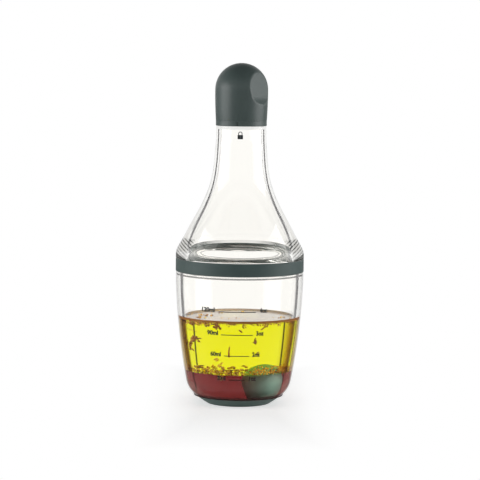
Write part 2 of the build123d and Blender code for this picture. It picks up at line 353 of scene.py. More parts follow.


# Liquids: clear bodies that take their colour from depth, and near the wall a painted edge shade from how it faces
paintedLiquidSides = {"scale": 20, "stops": ((0.45, 0.0), (0.55, 1.0))}      # from the left edge's painted shade to the right's
liquidLooks = {
    "oil": {
        "index": 1.47, "mirror": (0.1, 0.1, 0.1), "density": 82.0, "shade": (0.965, 0.960, 0.01),
        "shadow": (0.97, 0.96, 0.85),
        # painted edge shade by facing, in place of the dark that refraction shows at the edges, on the left and on the
        # right
        "left": (
            (0.209, (1, 1, 1)), (0.221, (0.15, 0.06, 0.01)), (0.233, (0.016, 0.003, 0.001)),
            (0.245, (0.06, 0.012, 0.001)), (0.262, (0.14, 0.05, 0.01)), (0.290, (0.4, 0.28, 0.15))),
        "right": (
            (0.135, (1, 1, 1)), (0.168, (0.65, 0.50, 0.2)), (0.187, (0.40, 0.25, 0.05)),
            (0.206, (0.19, 0.065, 0.01)), (0.225, (0.05, 0.009, 0.001)), (0.236, (0.06, 0.018, 0.002)),
            (0.250, (0.7, 0.65, 0.4)), (0.285, (0.2, 0.15, 0.1))),
        # painted pale edge
        "paintedVeil": (0.95, 0.72, 0.56),
        "paintedVeilStops": ((0.255, 0.0), (0.275, 0.5), (0.310, 0.5), (0.330, 0.0)),
        # painted reflection of the white around, on the surface
        "paintedShine": (0.92, 0.85, 0.78),
        "paintedShineStops": ((0.84, 0.0), (0.88, 0.45), (1.0, 0.45)),
        # brown of the herbs at the rim, with a painted dark meniscus line that is stronger at the front
        "ring": (0.40, 0.17, 0.06), "ringLow": 48.0 * mm,
        "ringStops": ((0.0, 0.0), (0.08, 0.8), (1.0, 0.8)),       # by height, in millimetres
        "ringScale": 20, "ringFrontShade": ((0.4, 1.0), (0.6, 0.25)),
        "ringSteep": ((0.65, 1.0), (0.80, 0.0)),
    },
    "vinegar": {
        "index": 1.36, "mirror": (0.1, 0.1, 0.1), "density": 82.0, "shade": (0.56, 0.07, 0.07),
        "shadow": (0.85, 0.70, 0.67),
        # painted edge shade by facing, on both sides
        "both": ((0.10, (1, 1, 1)), (0.32, (0.45, 0.3, 0.28))),
        # painted pale pink edge
        "paintedVeil": (0.80, 0.50, 0.42),
        "paintedVeilStops": ((0.24, 0.0), (0.30, 0.25), (0.60, 0.35), (0.80, 0.0)),
    },
}


def liquidLook(name, look):
    material, graph = newMaterial(name)
    facing, near = graph.facing(), 1 - graph.behind()
    # painted edge shade by how the surface faces
    if "both" in look:
        edge = graph.ramp(facing, look["both"])
    else:
        side = graph.ramp(graph.along("X") * paintedLiquidSides["scale"] + 0.5, paintedLiquidSides["stops"])
        edge = graph.blend(side, graph.ramp(facing, look["left"]), graph.ramp(facing, look["right"]))
    body = graph.add("ShaderNodeBsdfPrincipled", {}, {
        "Base Color": graph.blend(near, (1, 1, 1), edge),
        "Roughness": 0.0,
        "IOR": look["index"],
        "Transmission Weight": 1.0,
        "Specular Tint": colour(look["mirror"]),
    })
    # painted pale edge
    body = graph.mixed(graph.ramp(facing, look["paintedVeilStops"]) * near, body, graph.matt(look["paintedVeil"]))
    if "ring" in look:  # a painted reflection of the white around it on the surface; its rim at the wall brown with herbs and with a painted dark meniscus line, stronger at the front
        body = graph.mixed(graph.ramp(facing, look["paintedShineStops"]) * near, body, graph.glow(look["paintedShine"]))
        # the rim's herb brown, stronger at the front and by facing as a painted dark meniscus line
        high = graph.ramp((graph.along("Z") - look["ringLow"]) / mm, look["ringStops"])
        front = graph.ramp(graph.along("Y") * look["ringScale"] + 0.5, look["ringFrontShade"])
        steep = graph.ramp(facing, look["ringSteep"])
        body = graph.mixed(high * front * steep, body, graph.matt(look["ring"]))
    depth = graph.add("ShaderNodeVolumeAbsorption", {}, {"Color": colour(look["shade"]), "Density": look["density"]})
    surface(graph, graph.mixed(graph.ray("Is Shadow Ray"), body, graph.passing(look["shadow"])), depth)
    return material


clear = clearPlastic("clearPlastic", clearLook)
paintedVeiled = {name: clearPlastic("clearPlastic" + name, clearLook, None, paintedVeil) for name, paintedVeil in paintedVeils.items()}
finishes = {name: matteFinish(name, look) for name, look in matteLooks.items()}
liquids = {name: liquidLook(name, look) for name, look in liquidLooks.items()}

nodeFinish = {
    "cup": clear,
    "upper_bottle": clear,
    "base_foot": finishes["footSilicone"],
    "grip_band": finishes["darkSilicone"],
    "body_seal": finishes["darkSilicone"],
    "pour_spout": finishes["whitePlastic"],
    "cap_seal": finishes["clearSilicone"],
    "cap_core": finishes["darkPlastic"],
    "cap_dome": finishes["darkPlastic"],
    "mixing_ball": finishes["greenSilicone"],
}
for nodeName, finish in nodeFinish.items():
    for materialSlot in nodes[nodeName].material_slots:
        materialSlot.material = finish
print("finishes done")


# Mesh helpers
def meshFrom(shape, name):
    mesh = bpy.data.meshes.new(name)
    shape.to_mesh(mesh)
    shape.free()
    return mesh


def finishPiece(name, mesh, materials, body, smooth=True):
    piece = bpy.data.objects.new(name, mesh)
    bpy.context.scene.collection.objects.link(piece)
    for material in materials:
        mesh.materials.append(material)
    for face in mesh.polygons:
        face.use_smooth = smooth
    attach(piece, body)
    return piece


def finishShape(name, shape, finish, body, smooth=True):  # once its faces point outwards
    bmesh.ops.recalc_face_normals(shape, faces=shape.faces)
    finishPiece(name, meshFrom(shape, name), (finish,), body, smooth)


def spin(shape, parts, angle, steps, centre=(0, 0, 0), rise=0, merge=False):  # about the upright line at centre
    return bmesh.ops.spin(
        shape, geom=parts, cent=centre, axis=(0, 0, 1), dvec=(0, 0, rise), angle=angle, steps=steps,
        use_merge=merge, use_normal_flip=False, use_duplicate=False)


def turned(outline, sides, closed=False):  # a full turn of an outline of (radius, height) about the axis
    shape = bmesh.new()
    points = [shape.verts.new((radius, 0, height)) for radius, height in outline]
    for first, second in zip(points, points[1:] + points[:1] if closed else points[1:]):
        shape.edges.new((first, second))
    spin(shape, list(shape.verts) + list(shape.edges), 2 * math.pi, sides, merge=True)
    bmesh.ops.remove_doubles(shape, verts=shape.verts, dist=1e-6)
    bmesh.ops.recalc_face_normals(shape, faces=shape.faces)
    return shape


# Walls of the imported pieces, as (height, radius) rows down one side
wallSlope = 0.05      # sideways share of a face's normal, from which the face is a wall


def wallRows(node, inner):
    rows = {}
    mesh = node.data
    for face in mesh.polygons:
        outward = face.center.xy.normalized().dot(face.normal.xy)
        if (outward < -wallSlope) if inner else (outward > wallSlope):
            for index in face.vertices:
                spot = mesh.vertices[index].co
                rows[round(spot.z, 5)] = (spot.z, spot.xy.length)
    return sorted(rows.values())


def radiusAt(rows, height):
    number = min(max(bisect.bisect(rows, (height, 0)), 1), len(rows) - 1)
    (low, first), (high, second) = rows[number - 1], rows[number]
    share = (height - low) / (high - low) if high > low else 0
    return first + (second - first) * min(max(share, 0), 1)


cupInside = wallRows(nodes["cup"], True)
cupOutside = wallRows(nodes["cup"], False)
bottleInside = wallRows(nodes["upper_bottle"], True)
bottleOutside = wallRows(nodes["upper_bottle"], False)
floorHeight = cupInside[0][0]

# The clear cup and bottle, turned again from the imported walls, finely and with their screw threads
shell = {
    "sides": 240,
    "row": 1.0 * mm,
    "threadRow": 0.16 * mm,
    "sharpTurn": 13.0,        # degrees, from which a corner stays sharp
    "edge": 0.3 * mm,
    "gap": 0.05 * mm,         # kept free at the ends of a sampled wall
    "inward": -0.03,          # share of a face's normal, below which it belongs to the inner side
}
cupShape = {
    "rim": 80.1 * mm, "boreEnd": 72.9 * mm, "bandBase": 73.9 * mm, "bore": 32.0 * mm, "groove": 33.75 * mm,
    "heelTop": 4.6 * mm, "footRim": 22.5 * mm, "footFlat": 16.7 * mm, "underside": 1.65 * mm,
}
bottleShape = {
    "collarEnd": 73.1 * mm, "seat": 81.3 * mm, "shoulderRim": 82.9 * mm, "ledge": 154.7 * mm, "mouth": 162.65 * mm,
    "throatLow": 153.1 * mm, "throatHigh": 155.6 * mm, "innerStart": 86.0 * mm,
    "body": 35.7 * mm, "collar": 30.9 * mm, "collarBore": 29.2 * mm, "neck": 13.9 * mm, "finish": 11.4 * mm,
    "finishBore": 9.1 * mm, "neckBore": 11.3 * mm, "lip": 0.4 * mm, "lipTurns": (0, 0.52, 1.05, math.pi / 2),
}
paintedRows = {  # heights between which a shell's faces take a painted shade or glow, and on which side
    "cup": ((0.0, 4.6 * mm, paintedVeiled["PaintedFootShade"], "outer"), (4.6 * mm, 6.4 * mm, paintedVeiled["PaintedHeelShade"], "outer"),
            (71.9 * mm, 72.9 * mm, paintedVeiled["PaintedRimShade"], "inner")),
    "bottle": ((153.15 * mm, 155.5 * mm, paintedVeiled["PaintedThroatGlow"], "inner"),
               (paintedHatchLook["low"], paintedHatchLook["high"], paintedVeiled["PaintedHatchShade"], "outer"),
               (80.5 * mm, 84.2 * mm, paintedVeiled["PaintedSeatShade"], "inner")),
}
screw = {
    "pitch": 2.8 * mm, "turns": 1.3, "fade": 0.05, "depth": 0.85 * mm, "base": 1.4 * mm, "tip": 0.5 * mm,
    "near": 0.02 * mm,        # how close to its wall a point lies that the ridge moves
}
screws = (  # wall radius, start height, and whether the ridge stands out or in
    {"on": "bottle", "wall": bottleShape["collar"], "start": 74.5 * mm, "out": 1},
    {"on": "bottle", "wall": bottleShape["finish"], "start": 156.6 * mm, "out": 1},
    {"on": "cup", "wall": cupShape["bore"], "start": 75.9 * mm, "out": -1},
)


def wallPoints(rows, low, high, step):  # (radius, height) along a smooth wall, none farther apart than step
    picked = []
    for height, radius in rows:
        if low <= height <= high:
            spot = Vector((radius, height))
            if not picked or (spot - picked[-1]).length > step / 4:     # closer rows are left out
                picked.append(spot)
    slopes = []      # of the wall at each row, from its neighbours, the nearer one counting for more
    for number, spot in enumerate(picked):
        before, after = picked[max(number - 1, 0)], picked[min(number + 1, len(picked) - 1)]
        near, far = (spot - before).length or 1e9, (after - spot).length or 1e9
        slopes.append(((spot - before) * (far / near) + (after - spot) * (near / far)) / (near + far)
                      if 0 < number < len(picked) - 1 else (after - before).normalized())
    points = []
    for number in range(len(picked) - 1):
        start, end = picked[number], picked[number + 1]
        gap = (end - start).length
        pieces = max(1, math.ceil(gap / step))       # along a smooth curve between two rows
        for part in range(pieces):
            t = part / pieces
            points.append(
                start * (2 * t ** 3 - 3 * t ** 2 + 1) + slopes[number] * gap * (t ** 3 - 2 * t ** 2 + t)
                + end * (3 * t ** 2 - 2 * t ** 3) + slopes[number + 1] * gap * (t ** 3 - t ** 2))
    return [tuple(point) for point in points] + [tuple(picked[-1])]


def upright(radius, low, high, step):  # points of a straight wall, its ends left out
    count = max(2, round(abs(high - low) / step))
    return [(radius, low + (high - low) * number / count) for number in range(1, count)]


def cupOutline():
    s, edge, gap, fine = cupShape, shell["edge"], shell["gap"], shell["threadRow"]
    inner = wallPoints(cupInside, floorHeight, s["boreEnd"], shell["row"])
    outer = wallPoints(cupOutside, s["heelTop"] + gap, s["bandBase"] - gap, shell["row"])
    return (
        [(0, floorHeight)] + inner
        + upright(s["bore"], s["boreEnd"], s["rim"] - edge, fine)
        + [(s["bore"], s["rim"] - edge), (s["bore"] + edge, s["rim"]), (s["groove"] - edge, s["rim"]),
           (s["groove"], s["rim"] - edge), (s["groove"], s["bandBase"]), (outer[-1][0], s["bandBase"])]
        + outer[::-1]
        + [(outer[0][0], s["heelTop"] - gap), (s["footRim"], s["heelTop"] - gap),
           (s["footFlat"], s["underside"]), (0, s["underside"])])


def bottleOutline():
    s, edge, gap, fine = bottleShape, shell["edge"], shell["gap"], shell["threadRow"]
    outer = wallPoints(bottleOutside, s["shoulderRim"] + gap, s["ledge"] - gap, shell["row"])
    inner = wallPoints(bottleInside, s["innerStart"] + gap, s["throatLow"] - gap, shell["row"])
    lip, mouth = s["lip"], s["mouth"]
    return (
        [(s["collarBore"], s["collarEnd"] + edge), (s["collarBore"] + edge, s["collarEnd"]),
         (s["collar"] - edge, s["collarEnd"]), (s["collar"], s["collarEnd"] + edge)]
        + upright(s["collar"], s["collarEnd"] + edge, s["seat"], fine)
        + [(s["collar"], s["seat"]), (s["body"], s["seat"]), (s["body"], s["shoulderRim"])]
        + outer
        + [(s["neck"], s["ledge"]), (s["finish"], s["ledge"])]
        + upright(s["finish"], s["ledge"], mouth - lip, fine)
        + [(s["finish"] - lip * (1 - math.cos(turn)), mouth - lip * (1 - math.sin(turn)))
           for turn in s["lipTurns"]]
        + [(s["finishBore"] + lip * (1 - math.sin(turn)), mouth - lip * (1 - math.cos(turn)))
           for turn in s["lipTurns"]]
        + [(s["finishBore"], s["throatHigh"]), (s["neckBore"], s["throatLow"])]
        + inner[::-1]
        + upright(s["collarBore"], s["innerStart"], s["collarEnd"] + edge, shell["row"]))


def ridgeAt(turn, height, start):  # how far a ridge has risen, from 0 to 1, at a turn of 0 to 1
    best = 0
    for lap in range(2):      # where the ridge passes a second time
        along = turn + lap
        fade = min(1, along / screw["fade"], (screw["turns"] - along) / screw["fade"])
        offset = abs(height - start - screw["pitch"] * along)
        flank = (screw["base"] / 2 - offset) / ((screw["base"] - screw["tip"]) / 2)
        if fade > 0 and flank > 0:
            flank = min(1, flank)
            best = max(best, fade * flank * flank * (3 - 2 * flank))
    return best


def cutScrews(shape, owner):
    for thread in screws:
        if thread["on"] != owner:
            continue
        top = thread["start"] + screw["pitch"] * screw["turns"] + screw["base"]
        for vert in shape.verts:
            radius = vert.co.xy.length
            onWall = abs(radius - thread["wall"]) < screw["near"]
            if onWall and thread["start"] - screw["base"] < vert.co.z < top:
                turn = (math.atan2(vert.co.y, vert.co.x) / (2 * math.pi)) % 1
                rise = ridgeAt(turn, vert.co.z, thread["start"]) * screw["depth"] * thread["out"]
                vert.co.xy *= (radius + rise) / radius


def clearShell(name, outline, closed, owner, nodeName, body):
    shape = turned(outline, shell["sides"], closed)
    cutScrews(shape, owner)
    limit = math.radians(shell["sharpTurn"])
    for edge in shape.edges:
        edge.smooth = edge.calc_face_angle(0) < limit
    for face in shape.faces:
        centre = face.calc_center_median()
        inner = face.normal.xy.dot(centre.xy.normalized()) < shell["inward"]
        face.material_index = int(inner)
        for number, (low, high, finish, side) in enumerate(paintedRows[owner]):
            if low < centre.z < high and inner == (side == "inner"):
                face.material_index = number + 2
    # The inner side takes the painted dark lines
    insides = clearPlastic(name + "Inside", clearLook, paintedLines[owner])
    materials = (clear, insides, *(row[2] for row in paintedRows[owner]))
    piece = finishPiece(name, meshFrom(shape, name), materials, body)
    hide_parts(nodeName)


clearShell("cupShell", cupOutline(), False, "cup", "cup", "cup")
clearShell("bottleShell", bottleOutline(), True, "bottle", "upper_bottle", "bottle")
print("clear shells done")

# Screw ridge inside the cap, under the dome
capRidge = {"bore": 12.5 * mm, "start": 158.0 * mm, "root": 0.1 * mm, "steps": 60, "shorter": 0.1}


def capScrew():
    wide, narrow = screw["base"] / 2, screw["tip"] / 2
    root, tip = capRidge["bore"] + capRidge["root"], capRidge["bore"] - screw["depth"]
    shape = bmesh.new()
    section = shape.faces.new([
        shape.verts.new((radius, 0, capRidge["start"] + rise))
        for radius, rise in ((root, -wide), (root, wide), (tip, narrow), (tip, -narrow))])
    turns = screw["turns"] - capRidge["shorter"]
    spin(shape, [section], 2 * math.pi * turns, capRidge["steps"], rise=screw["pitch"] * turns / capRidge["steps"])
    finishShape("capScrew", shape, finishes["darkPlastic"], "cap", False)


capScrew()

# The dressing: oil over vinegar, each filling the cup from wall to wall
fill = {
    "oilTop": 48.4 * mm,
    "join": 19.2 * mm, "joinOverlap": 0.02 * mm,
    "overlap": 0.1 * mm,      # into the cup's wall, so that no film of air shows
    "meniscus": 1.1 * mm, "meniscusReach": 2.6 * mm, "meniscusSteps": 12,
    "row": 0.8 * mm,
    "sides": 200,
    "sharpTurn": 30.0,        # degrees
}


def liquidBody(name, low, high, look, flatBottom, curl):
    walls = wallPoints(cupInside, low, high + curl, fill["row"])
    outline = [(0, low)]
    if flatBottom:
        outline.append((radiusAt(cupInside, low) + fill["overlap"], low))
    outline += [(radius + fill["overlap"], height) for radius, height in walls if height > low]
    outline.append((radiusAt(cupInside, high + curl) + fill["overlap"], high + curl))
    edge = radiusAt(cupInside, high)
    if curl:
        for step in range(1, fill["meniscusSteps"] + 1):
            share = step / fill["meniscusSteps"]
            outline.append((edge - fill["meniscusReach"] * share, high + curl * (1 - share) ** 3))
    outline.append((0, high))
    shape = turned(outline, fill["sides"])
    for side in shape.edges:
        side.smooth = side.calc_face_angle(0) < math.radians(fill["sharpTurn"])
    finishPiece(name, meshFrom(shape, name), (look,), "cup")


liquidBody("vinegar", floorHeight - fill["overlap"], fill["join"], liquids["vinegar"], False, 0)
liquidBody("oil", fill["join"] - fill["joinOverlap"], fill["oilTop"], liquids["oil"], True, fill["meniscus"])
print("dressing done")


# Printed marks: measuring lines and figures on the cup, a closed padlock on the neck
ink = {"thickness": 0.05 * mm, "lift": 0.01 * mm}
marks = {
    "centre": -1.1 * mm, "stroke": 0.42 * mm, "cuts": 14,
    "letterHeight": 2.65 * mm, "letterDrop": 0.35 * mm, "letterCurve": 4, "letterDepth": 0.5, "letterWeight": 0.05,
    "rows": (  # height, line length, left word, its ends, right word, its ends
        (54.73 * mm, 20.3 * mm, "120ml", -20.4 * mm, -13.4 * mm, "4oz", 11.1 * mm, 15.2 * mm),
        (42.04 * mm, 17.3 * mm, "90ml", -17.4 * mm, -11.4 * mm, "3oz", 9.4 * mm, 13.5 * mm),
        (30.29 * mm, 13.7 * mm, "60ml", -15.5 * mm, -9.8 * mm, "2oz", 7.3 * mm, 11.6 * mm),
        (16.77 * mm, 8.5 * mm, "30ml", -11.6 * mm, -7.1 * mm, "1oz", 5.8 * mm, 9.6 * mm),
    ),
}


def flatWord(words):  # letters as a thin closed solid
    letters = bpy.data.curves.new("letters", "FONT")
    letters.body = words
    letters.resolution_u = marks["letterCurve"]
    letters.extrude = marks["letterDepth"]
    letters.offset = marks["letterWeight"]
    holder = bpy.data.objects.new("letters", letters)
    mesh = bpy.data.meshes.new_from_object(holder)
    shape = bmesh.new()
    shape.from_mesh(mesh)
    bmesh.ops.remove_doubles(shape, verts=shape.verts, dist=1e-5)
    bpy.data.objects.remove(holder)
    bpy.data.curves.remove(letters)
    bpy.data.meshes.remove(mesh)
    return shape


def fitFlat(shape, left, right, low, high):  # into that rectangle, with the ink's thickness
    spots = [vert.co for vert in shape.verts]
    lowest = Vector([min(spot[axis] for spot in spots) for axis in range(3)])
    size = Vector([max(spot[axis] for spot in spots) for axis in range(3)]) - lowest
    scale = ((right - left) / size.x, (high - low) / size.y, ink["thickness"] / size.z)
    bmesh.ops.translate(shape, verts=shape.verts, vec=-lowest)
    bmesh.ops.scale(shape, verts=shape.verts, vec=scale)
    bmesh.ops.translate(shape, verts=shape.verts, vec=(left, low, 0))


def wrapOn(shape, rows):  # lays a flat shape of (across, up, thickness) on a turned wall, at the front
    for vert in shape.verts:
        across, up, lift = vert.co
        radius = radiusAt(rows, up) + lift + ink["lift"]
        vert.co = (across, -math.sqrt(radius ** 2 - across ** 2), up)


def joined(shapes):
    whole = bmesh.new()
    for shape in shapes:
        part = meshFrom(shape, "part")
        whole.from_mesh(part)
        bpy.data.meshes.remove(part)
    return whole


def flatBar(left, right, low, high, cuts):
    shape = bmesh.new()
    bmesh.ops.create_cube(shape, size=1)
    along = [edge for edge in shape.edges if abs((edge.verts[0].co - edge.verts[1].co).x) > 0.5]
    if cuts:
        bmesh.ops.subdivide_edges(shape, edges=along, cuts=cuts, use_grid_fill=True)
    fitFlat(shape, left, right, low, high)
    return shape


def cupMarks():
    shapes = []
    for height, length, leftWord, leftStart, leftEnd, rightWord, rightStart, rightEnd in marks["rows"]:
        half, stroke = length / 2, marks["stroke"] / 2
        shapes.append(flatBar(marks["centre"] - half, marks["centre"] + half, height - stroke, height + stroke,
                              marks["cuts"]))
        base = height - marks["letterDrop"]
        for words, start, end in ((leftWord, leftStart, leftEnd), (rightWord, rightStart, rightEnd)):
            word = flatWord(words)
            fitFlat(word, start, end, base, base + marks["letterHeight"])
            shapes.append(word)
    whole = joined(shapes)
    wrapOn(whole, cupOutside)
    finishShape("cupMarks", whole, finishes["printInk"], "cup", False)


padlock = {
    "centre": -0.48 * mm, "low": 148.0 * mm, "width": 3.0 * mm, "height": 2.35 * mm, "caseCuts": 5,
    "corner": 0.25 * mm, "cornerSteps": 3,
    "shackle": 0.95 * mm, "bar": 0.42 * mm, "leg": 0.75 * mm, "bowSteps": 20, "sunk": 0.05 * mm,
    "keyhole": 0.34 * mm, "keyholeRise": 0.6, "keyholeSides": 20, "slot": 0.26 * mm, "slotRise": 0.22,
}


def only(parts, kind):  # those of one kind, out of what an operator returns
    return [part for part in parts if isinstance(part, kind)]


def lockCase(low, left, right):
    case = flatBar(left, right, low, low + padlock["height"], padlock["caseCuts"])
    corners = [edge for edge in case.edges
               if abs(edge.verts[0].co.z - edge.verts[1].co.z) > 1e-6
               and min(abs(edge.verts[0].co.x - side) for side in (left, right)) < 1e-6]
    bmesh.ops.bevel(case, geom=corners, offset=padlock["corner"], segments=padlock["cornerSteps"], profile=0.5,
                    affect="EDGES", material=-1)
    return case


def lockHoop(middle, foot):
    p = padlock
    hoop = bmesh.new()
    inner, outer = p["shackle"] - p["bar"] / 2, p["shackle"] + p["bar"] / 2
    section = hoop.faces.new([hoop.verts.new(spot) for spot in (
        (inner, 0, 0), (outer, 0, 0), (outer, 0, ink["thickness"]), (inner, 0, ink["thickness"]))])
    leg = bmesh.ops.extrude_face_region(hoop, geom=[section])["geom"]
    bmesh.ops.translate(hoop, verts=only(leg, bmesh.types.BMVert), vec=(0, p["leg"], 0))
    bow = spin(hoop, only(leg, bmesh.types.BMFace), math.pi, p["bowSteps"], (0, p["leg"], 0))["geom_last"]
    leg = bmesh.ops.extrude_face_region(hoop, geom=only(bow, bmesh.types.BMFace))["geom"]
    bmesh.ops.translate(hoop, verts=only(leg, bmesh.types.BMVert), vec=(0, -p["leg"], 0))
    bmesh.ops.translate(hoop, verts=hoop.verts, vec=(middle, foot, 0))
    return hoop


def lockKeyhole(middle, low, rise):
    p = padlock
    hole = bmesh.new()
    bmesh.ops.create_cone(hole, cap_ends=True, segments=p["keyholeSides"], radius1=p["keyhole"],
                          radius2=p["keyhole"], depth=ink["thickness"])
    bmesh.ops.translate(hole, verts=hole.verts, vec=(middle, rise, ink["thickness"]))
    key = flatBar(middle - p["slot"] / 2, middle + p["slot"] / 2, low, rise, 0)
    bmesh.ops.translate(key, verts=key.verts, vec=(0, 0, ink["thickness"] / 2))
    return joined([hole, key])


def neckPadlock():
    p = padlock
    middle, low, high = p["centre"], p["low"], p["low"] + p["height"]
    sign = joined([lockCase(low, middle - p["width"] / 2, middle + p["width"] / 2),
                   lockHoop(middle, high - p["sunk"])])
    keyhole = lockKeyhole(middle, low + p["height"] * p["slotRise"], low + p["height"] * p["keyholeRise"])
    for name, shape, look in (("padlockSign", sign, "printInk"), ("keyholeSign", keyhole, "keyholeInk")):
        wrapOn(shape, bottleOutside)
        finishShape(name, shape, finishes[look], "bottle", False)


cupMarks()
neckPadlock()
print("printed marks done")

# Herbs in the dressing: flakes behind the cup's wall, a rim at the oil's surface, crumbs on the vinegar and the ball,
# flakes afloat and saffron threads
herbs = {
    "seed": 7,
    "long": (0.7, 1.3), "wide": (0.4, 0.8), "uneven": (0.75, 1.25),      # of a flake, in its size
    "flakeFlat": 0.3, "crumbFlat": 0.45,
    "spreadAcross": 0.9, "spreadUp": 1.1, "behindWall": (1.4, 2.4),
    "dark": (  # across, height, size, clump count
        (-22.6, 38.6, 1.5, 6), (-23.6, 37.0, 1.4, 6), (-24.6, 35.0, 1.5, 6), (-23.8, 33.0, 1.3, 4),
        (-20.6, 38.2, 1.3, 4), (-26.6, 37.4, 1.1, 4), (8.8, 39.6, 1.2, 2), (8.6, 37.8, 1.2, 2),
        (9.6, 31.6, 1.3, 3), (-12.4, 45.4, 1.5, 3), (0.4, 45.2, 1.2, 1), (-28.6, 42.0, 1.0, 4),
        (-28.8, 45.4, 1.0, 4), (-29.0, 38.6, 0.9, 3), (28.8, 26.0, 1.1, 4), (28.6, 44.8, 0.9, 3),
        (-27.0, 47.2, 1.2, 7), (-24.0, 47.4, 1.3, 8), (-20.0, 47.2, 1.4, 6), (-16.5, 47.0, 1.2, 4),
        (-12.0, 46.8, 1.5, 6), (-10.4, 46.0, 1.2, 3), (-5.0, 47.2, 1.0, 3), (3.0, 47.0, 1.0, 3),
        (14.0, 47.2, 1.0, 3), (20.0, 47.4, 1.0, 4), (26.0, 47.4, 1.0, 4),
    ),
    "bright": ((-11.4, 27.2, 1.6, 2), (-9.6, 25.2, 1.5, 3), (-9.0, 23.6, 1.3, 2), (-9.4, 17.4, 1.7, 4)),
    "rimCount": 420, "rimSize": 0.7 * mm, "rimSizes": (0.5, 1.2), "rimDrop": 1.3 * mm, "rimDrops": (0.3, 1.0),
    "rimBehind": (0.9, 2.2), "rimDark": 0.6, "rimClump": 1.5, "rimClumpTurn": (-1.3, -0.35),
    "crumbCount": 560, "crumbSize": 0.6 * mm, "crumbSizes": (0.6, 1.6), "crumbLow": 0.6 * mm, "crumbRise": 2.8 * mm,
    "crumbDark": 0.35, "crumbNear": 0.6, "crumbBehind": (0.8, 3.0), "crumbInside": (2.0, 20.0),
    "heapCount": 105, "heapTurn": (0.3, 1.1), "heapRise": 5.2 * mm, "heapRises": (0.1, 1.0), "heapDark": 0.12,
    "heapBehind": (0.8, 3.0), "heapSizes": (0.8, 1.7),
    "floatDark": 0.5, "floatReach": 2.5, "floatLift": 0.1 * mm, "floatSizes": (0.6, 1.3),
    "floating": (  # across, forward, reach across, size, count
        (-22.0, 6.0, 4.0, 0.9, 12), (-19.0, -4.0, 5.0, 0.9, 10), (-12.0, -16.0, 6.0, 0.8, 6),
        (3.0, -22.0, 2.0, 0.9, 3), (-3.0, 8.0, 8.0, 0.7, 5), (22.0, 2.0, 4.0, 0.8, 5),
    ),
}
saffron = {
    "threads": ((-4.7, 35.4, -4.9, 29.4), (14.0, 48.0, 11.4, 44.6), (-26.0, 43.6, -21.5, 42.4)),    # both ends
    "width": 0.5 * mm, "sides": 6, "steps": 8, "bend": 0.5, "behindWall": 1.9 * mm, "thin": 0.6, "thicker": 0.6,
}


def flake(shape, place, size, chance, flat):
    flakeVerts = bmesh.ops.create_icosphere(shape, subdivisions=1, radius=1)["verts"]
    angle = chance.uniform(0, 6.28)
    turnTo = Matrix.Rotation(angle, 3, Vector([chance.uniform(-1, 1) for axis in range(3)]).normalized())
    stretch = Vector((size * chance.uniform(*herbs["long"]), size * chance.uniform(*herbs["wide"]), size * flat))
    for vert in flakeVerts:
        bent = Vector([vert.co[axis] * stretch[axis] * chance.uniform(*herbs["uneven"]) for axis in range(3)])
        vert.co = turnTo @ bent + place


def roundSpot(turn, height, inward):  # inside the cup's wall, at a turn from the front
    radius = radiusAt(cupInside, height) - inward
    return Vector((radius * math.sin(turn), -radius * math.cos(turn), height))


def frontSpot(across, height, inward):
    share = across / (radiusAt(cupInside, height) - inward)
    return roundSpot(math.asin(max(-0.99, min(0.99, share))), height, inward)


def wallFlakes(chance, table, shape):
    up, sideways = herbs["spreadUp"], herbs["spreadAcross"]
    for across, height, size, count in herbs[table]:
        for number in range(count):
            spot = frontSpot((across + chance.uniform(-sideways, sideways)) * mm,
                             (height + chance.uniform(-up, up)) * mm, chance.uniform(*herbs["behindWall"]) * mm)
            flake(shape, spot, size * mm, chance, herbs["flakeFlat"])


def rimFlakes(chance, dark, bright):
    start, end = herbs["rimClumpTurn"]
    for number in range(herbs["rimCount"]):
        turn = chance.uniform(-math.pi, math.pi)
        clump = herbs["rimClump"] if start < turn < end else 1.0
        height = fill["oilTop"] - chance.uniform(*herbs["rimDrops"]) ** 2 * herbs["rimDrop"] * clump
        spot = roundSpot(turn, height, chance.uniform(*herbs["rimBehind"]) * mm)
        shape = dark if chance.random() < herbs["rimDark"] else bright
        flake(shape, spot, herbs["rimSize"] * chance.uniform(*herbs["rimSizes"]) * clump, chance, herbs["flakeFlat"])


def layerCrumbs(chance, dark, bright):
    for number in range(herbs["crumbCount"]):
        turn = chance.uniform(-math.pi, math.pi)
        rise = chance.random() ** 2 * herbs["crumbRise"]
        reach = herbs["crumbBehind"] if chance.random() < herbs["crumbNear"] else herbs["crumbInside"]
        spot = roundSpot(turn, fill["join"] + herbs["crumbLow"] + rise, chance.uniform(*reach) * mm)
        shape = dark if chance.random() < herbs["crumbDark"] else bright
        flake(shape, spot, herbs["crumbSize"] * chance.uniform(*herbs["crumbSizes"]), chance, herbs["crumbFlat"])


def heapCrumbs(chance, dark, bright):
    for number in range(herbs["heapCount"]):
        height = fill["join"] + chance.uniform(*herbs["heapRises"]) * herbs["heapRise"]
        shape = dark if chance.random() < herbs["heapDark"] else bright
        spot = roundSpot(chance.uniform(*herbs["heapTurn"]), height, chance.uniform(*herbs["heapBehind"]) * mm)
        flake(shape, spot, herbs["crumbSize"] * chance.uniform(*herbs["heapSizes"]), chance, herbs["crumbFlat"])


def floatingFlakes(chance, dark, bright):
    deep = herbs["floatReach"]
    for across, forward, reach, size, count in herbs["floating"]:
        for number in range(count):
            spot = Vector(((across + chance.uniform(-reach, reach)) * mm, (chance.uniform(-deep, deep) - forward) * mm,
                           fill["oilTop"] + herbs["floatLift"]))
            shape = dark if chance.random() < herbs["floatDark"] else bright
            flake(shape, spot, size * mm * chance.uniform(*herbs["floatSizes"]), chance, herbs["flakeFlat"])


